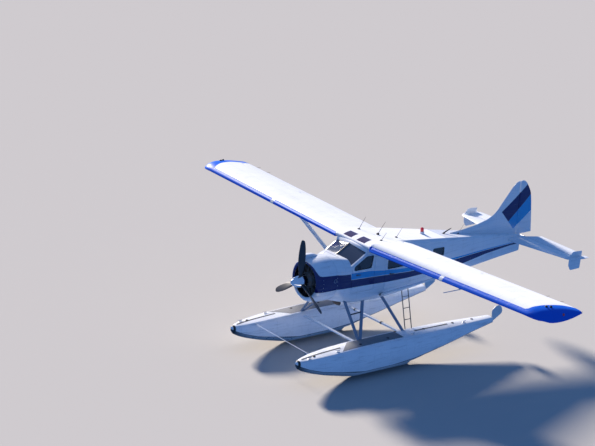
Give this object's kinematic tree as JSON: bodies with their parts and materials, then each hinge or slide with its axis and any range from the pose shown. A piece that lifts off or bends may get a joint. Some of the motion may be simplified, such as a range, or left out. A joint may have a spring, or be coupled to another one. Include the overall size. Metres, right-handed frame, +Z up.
{
  "type": "floatplane",
  "caption": "High-wing floatplane on twin floats, with a radial engine, strut-braced wing, opening doors, moving control surfaces and retractable water rudders.",
  "frame": {"origin": "on the floor under the middle of the aircraft, at the level of the float keels", "axes": "+X to the aircraft's left side along the span, -Y forward along the thrust line, +Z up"},
  "size_m": [14.63, 9.98, 4.318],
  "materials": {
    "nose_paint": "gloss paint, navy with a white top",
    "fuselage_paint": "gloss white paint with navy and light blue stripes",
    "white_paint": "gloss white paint",
    "wing_paint": "gloss white paint with a royal blue leading edge and tip",
    "fin_paint": "gloss white paint with slanted navy and blue bands",
    "float_paint": "satin white paint, worn and streaked by water",
    "strut_paint": "gloss white paint",
    "engine_metal": "dark finned metal with bronze hints",
    "blade_metal": "satin metal",
    "polished_metal": "mirror polish",
    "rudder_metal": "satin metal",
    "window_glass": "clear, slightly dark",
    "cabin_plastic": "matt black",
    "seat_fabric": "dark woven fabric"
  },
  "bodies": {
    "airframe": {"nose_section": "nose_paint", "engine_cowl": "nose_paint", "air_scoop": "white_paint", "engine": "engine_metal", "exhaust_pipe": "engine_metal", "cabin_floor": "fuselage_paint", "cabin_roof": "white_paint", "cabin_wall_left": "fuselage_paint", "cabin_wall_right": "fuselage_paint", "rear_window_left": "window_glass", "rear_window_right": "window_glass", "skylight_left": "window_glass", "skylight_right": "window_glass", "windshield": "window_glass", "instrument_panel": "cabin_plastic", "seat_front_left": "seat_fabric", "seat_front_right": "seat_fabric", "rear_bench": "seat_fabric", "tail_cone": "fuselage_paint", "fin": "fin_paint", "tailplane": "white_paint", "finlet_left": "white_paint", "finlet_right": "white_paint", "wing_left": "wing_paint", "wing_right": "wing_paint", "wing_strut_left": "strut_paint", "wing_strut_right": "strut_paint", "front_struts_left": "strut_paint", "front_struts_right": "strut_paint", "rear_strut_left": "strut_paint", "rear_strut_right": "strut_paint", "spreader_front": "strut_paint", "spreader_rear": "strut_paint", "ladder_left": "strut_paint", "ladder_right": "strut_paint", "float_left": "float_paint", "float_right": "float_paint"},
    "propeller": {"propeller": "blade_metal", "spinner": "polished_metal"},
    "cockpit_door_left": {"cockpit_door_left": "fuselage_paint", "cockpit_door_glass_left": "window_glass"},
    "cockpit_door_right": {"cockpit_door_right": "fuselage_paint", "cockpit_door_glass_right": "window_glass"},
    "cabin_door_left": {"cabin_door_left": "fuselage_paint", "cabin_door_glass_left": "window_glass"},
    "cabin_door_right": {"cabin_door_right": "fuselage_paint", "cabin_door_glass_right": "window_glass"},
    "aileron_left": {"aileron_left": "wing_paint"},
    "aileron_right": {"aileron_right": "wing_paint"},
    "flap_left": {"flap_left": "wing_paint"},
    "flap_right": {"flap_right": "wing_paint"},
    "elevator": {"elevator": "white_paint"},
    "rudder": {"rudder": "fin_paint"},
    "water_rudder_head_left": {"water_rudder_head_left": "rudder_metal"},
    "water_rudder_head_right": {"water_rudder_head_right": "rudder_metal"},
    "water_rudder_blade_left": {"water_rudder_blade_left": "rudder_metal"},
    "water_rudder_blade_right": {"water_rudder_blade_right": "rudder_metal"}
  },
  "joints": [
    {"name": "propeller_spin", "type": "hinge", "parent": "airframe", "child": "propeller", "pos_m": [0, -3.87, 2.43], "axis": [0, -1, 0], "continuous": true},
    {"name": "cockpit_door_left_swing", "type": "hinge", "parent": "airframe", "child": "cockpit_door_left", "pos_m": [0.65997, -2.57, 2.43], "axis": [0, 0, -1], "range_deg": [0, 75]},
    {"name": "cockpit_door_right_swing", "type": "hinge", "parent": "airframe", "child": "cockpit_door_right", "pos_m": [-0.65997, -2.57, 2.43], "axis": [0, 0, 1], "range_deg": [0, 75]},
    {"name": "cabin_door_left_swing", "type": "hinge", "parent": "airframe", "child": "cabin_door_left", "pos_m": [0.66296, -1.37, 2.43], "axis": [0, 0, -1], "range_deg": [0, 75]},
    {"name": "cabin_door_right_swing", "type": "hinge", "parent": "airframe", "child": "cabin_door_right", "pos_m": [-0.66296, -1.37, 2.43], "axis": [0, 0, 1], "range_deg": [0, 75]},
    {"name": "aileron_left_tilt", "type": "hinge", "parent": "airframe", "child": "aileron_left", "pos_m": [5.346, -0.88507, 3.47622], "axis": [0.9993, 0, 0.0365], "range_deg": [-20, 20]},
    {"name": "aileron_right_tilt", "type": "hinge", "parent": "airframe", "child": "aileron_right", "pos_m": [-5.346, -0.88507, 3.47622], "axis": [0.9993, 0, -0.0365], "range_deg": [-20, 20]},
    {"name": "flap_left_lower", "type": "hinge", "parent": "airframe", "child": "flap_left", "pos_m": [2.329, -0.88507, 3.36611], "axis": [-0.9993, 0, -0.0365], "range_deg": [0, 50]},
    {"name": "flap_right_lower", "type": "hinge", "parent": "airframe", "child": "flap_right", "pos_m": [-2.329, -0.88507, 3.36611], "axis": [-0.9993, 0, 0.0365], "range_deg": [0, 50]},
    {"name": "elevator_tilt", "type": "hinge", "parent": "airframe", "child": "elevator", "pos_m": [0, 4.572, 2.58], "axis": [1, 0, 0], "range_deg": [-20, 25]},
    {"name": "rudder_swing", "type": "hinge", "parent": "airframe", "child": "rudder", "pos_m": [0, 4.31, 3.4], "axis": [0, 0, 1], "range_deg": [-25, 25]},
    {"name": "water_rudder_steer_left", "type": "hinge", "parent": "airframe", "child": "water_rudder_head_left", "pos_m": [1.458, 2.182, 0.795], "axis": [0, 0, 1], "range_deg": [-30, 30]},
    {"name": "water_rudder_steer_right", "type": "hinge", "parent": "airframe", "child": "water_rudder_head_right", "pos_m": [-1.458, 2.182, 0.795], "axis": [0, 0, 1], "range_deg": [-30, 30]},
    {"name": "water_rudder_lift_left", "type": "hinge", "parent": "water_rudder_head_left", "child": "water_rudder_blade_left", "pos_m": [1.458, 2.268, 0.795], "axis": [-1, 0, 0], "range_deg": [0, 115]},
    {"name": "water_rudder_lift_right", "type": "hinge", "parent": "water_rudder_head_right", "child": "water_rudder_blade_right", "pos_m": [-1.458, 2.268, 0.795], "axis": [-1, 0, 0], "range_deg": [0, 115]}
  ],
  "couplings": [
    {"joint": "aileron_right_tilt", "follows": "aileron_left_tilt", "ratio": -1},
    {"joint": "flap_right_lower", "follows": "flap_left_lower", "ratio": 1},
    {"joint": "water_rudder_steer_left", "follows": "rudder_swing", "ratio": 1.2},
    {"joint": "water_rudder_steer_right", "follows": "rudder_swing", "ratio": 1.2},
    {"joint": "water_rudder_lift_right", "follows": "water_rudder_lift_left", "ratio": 1}
  ]
}
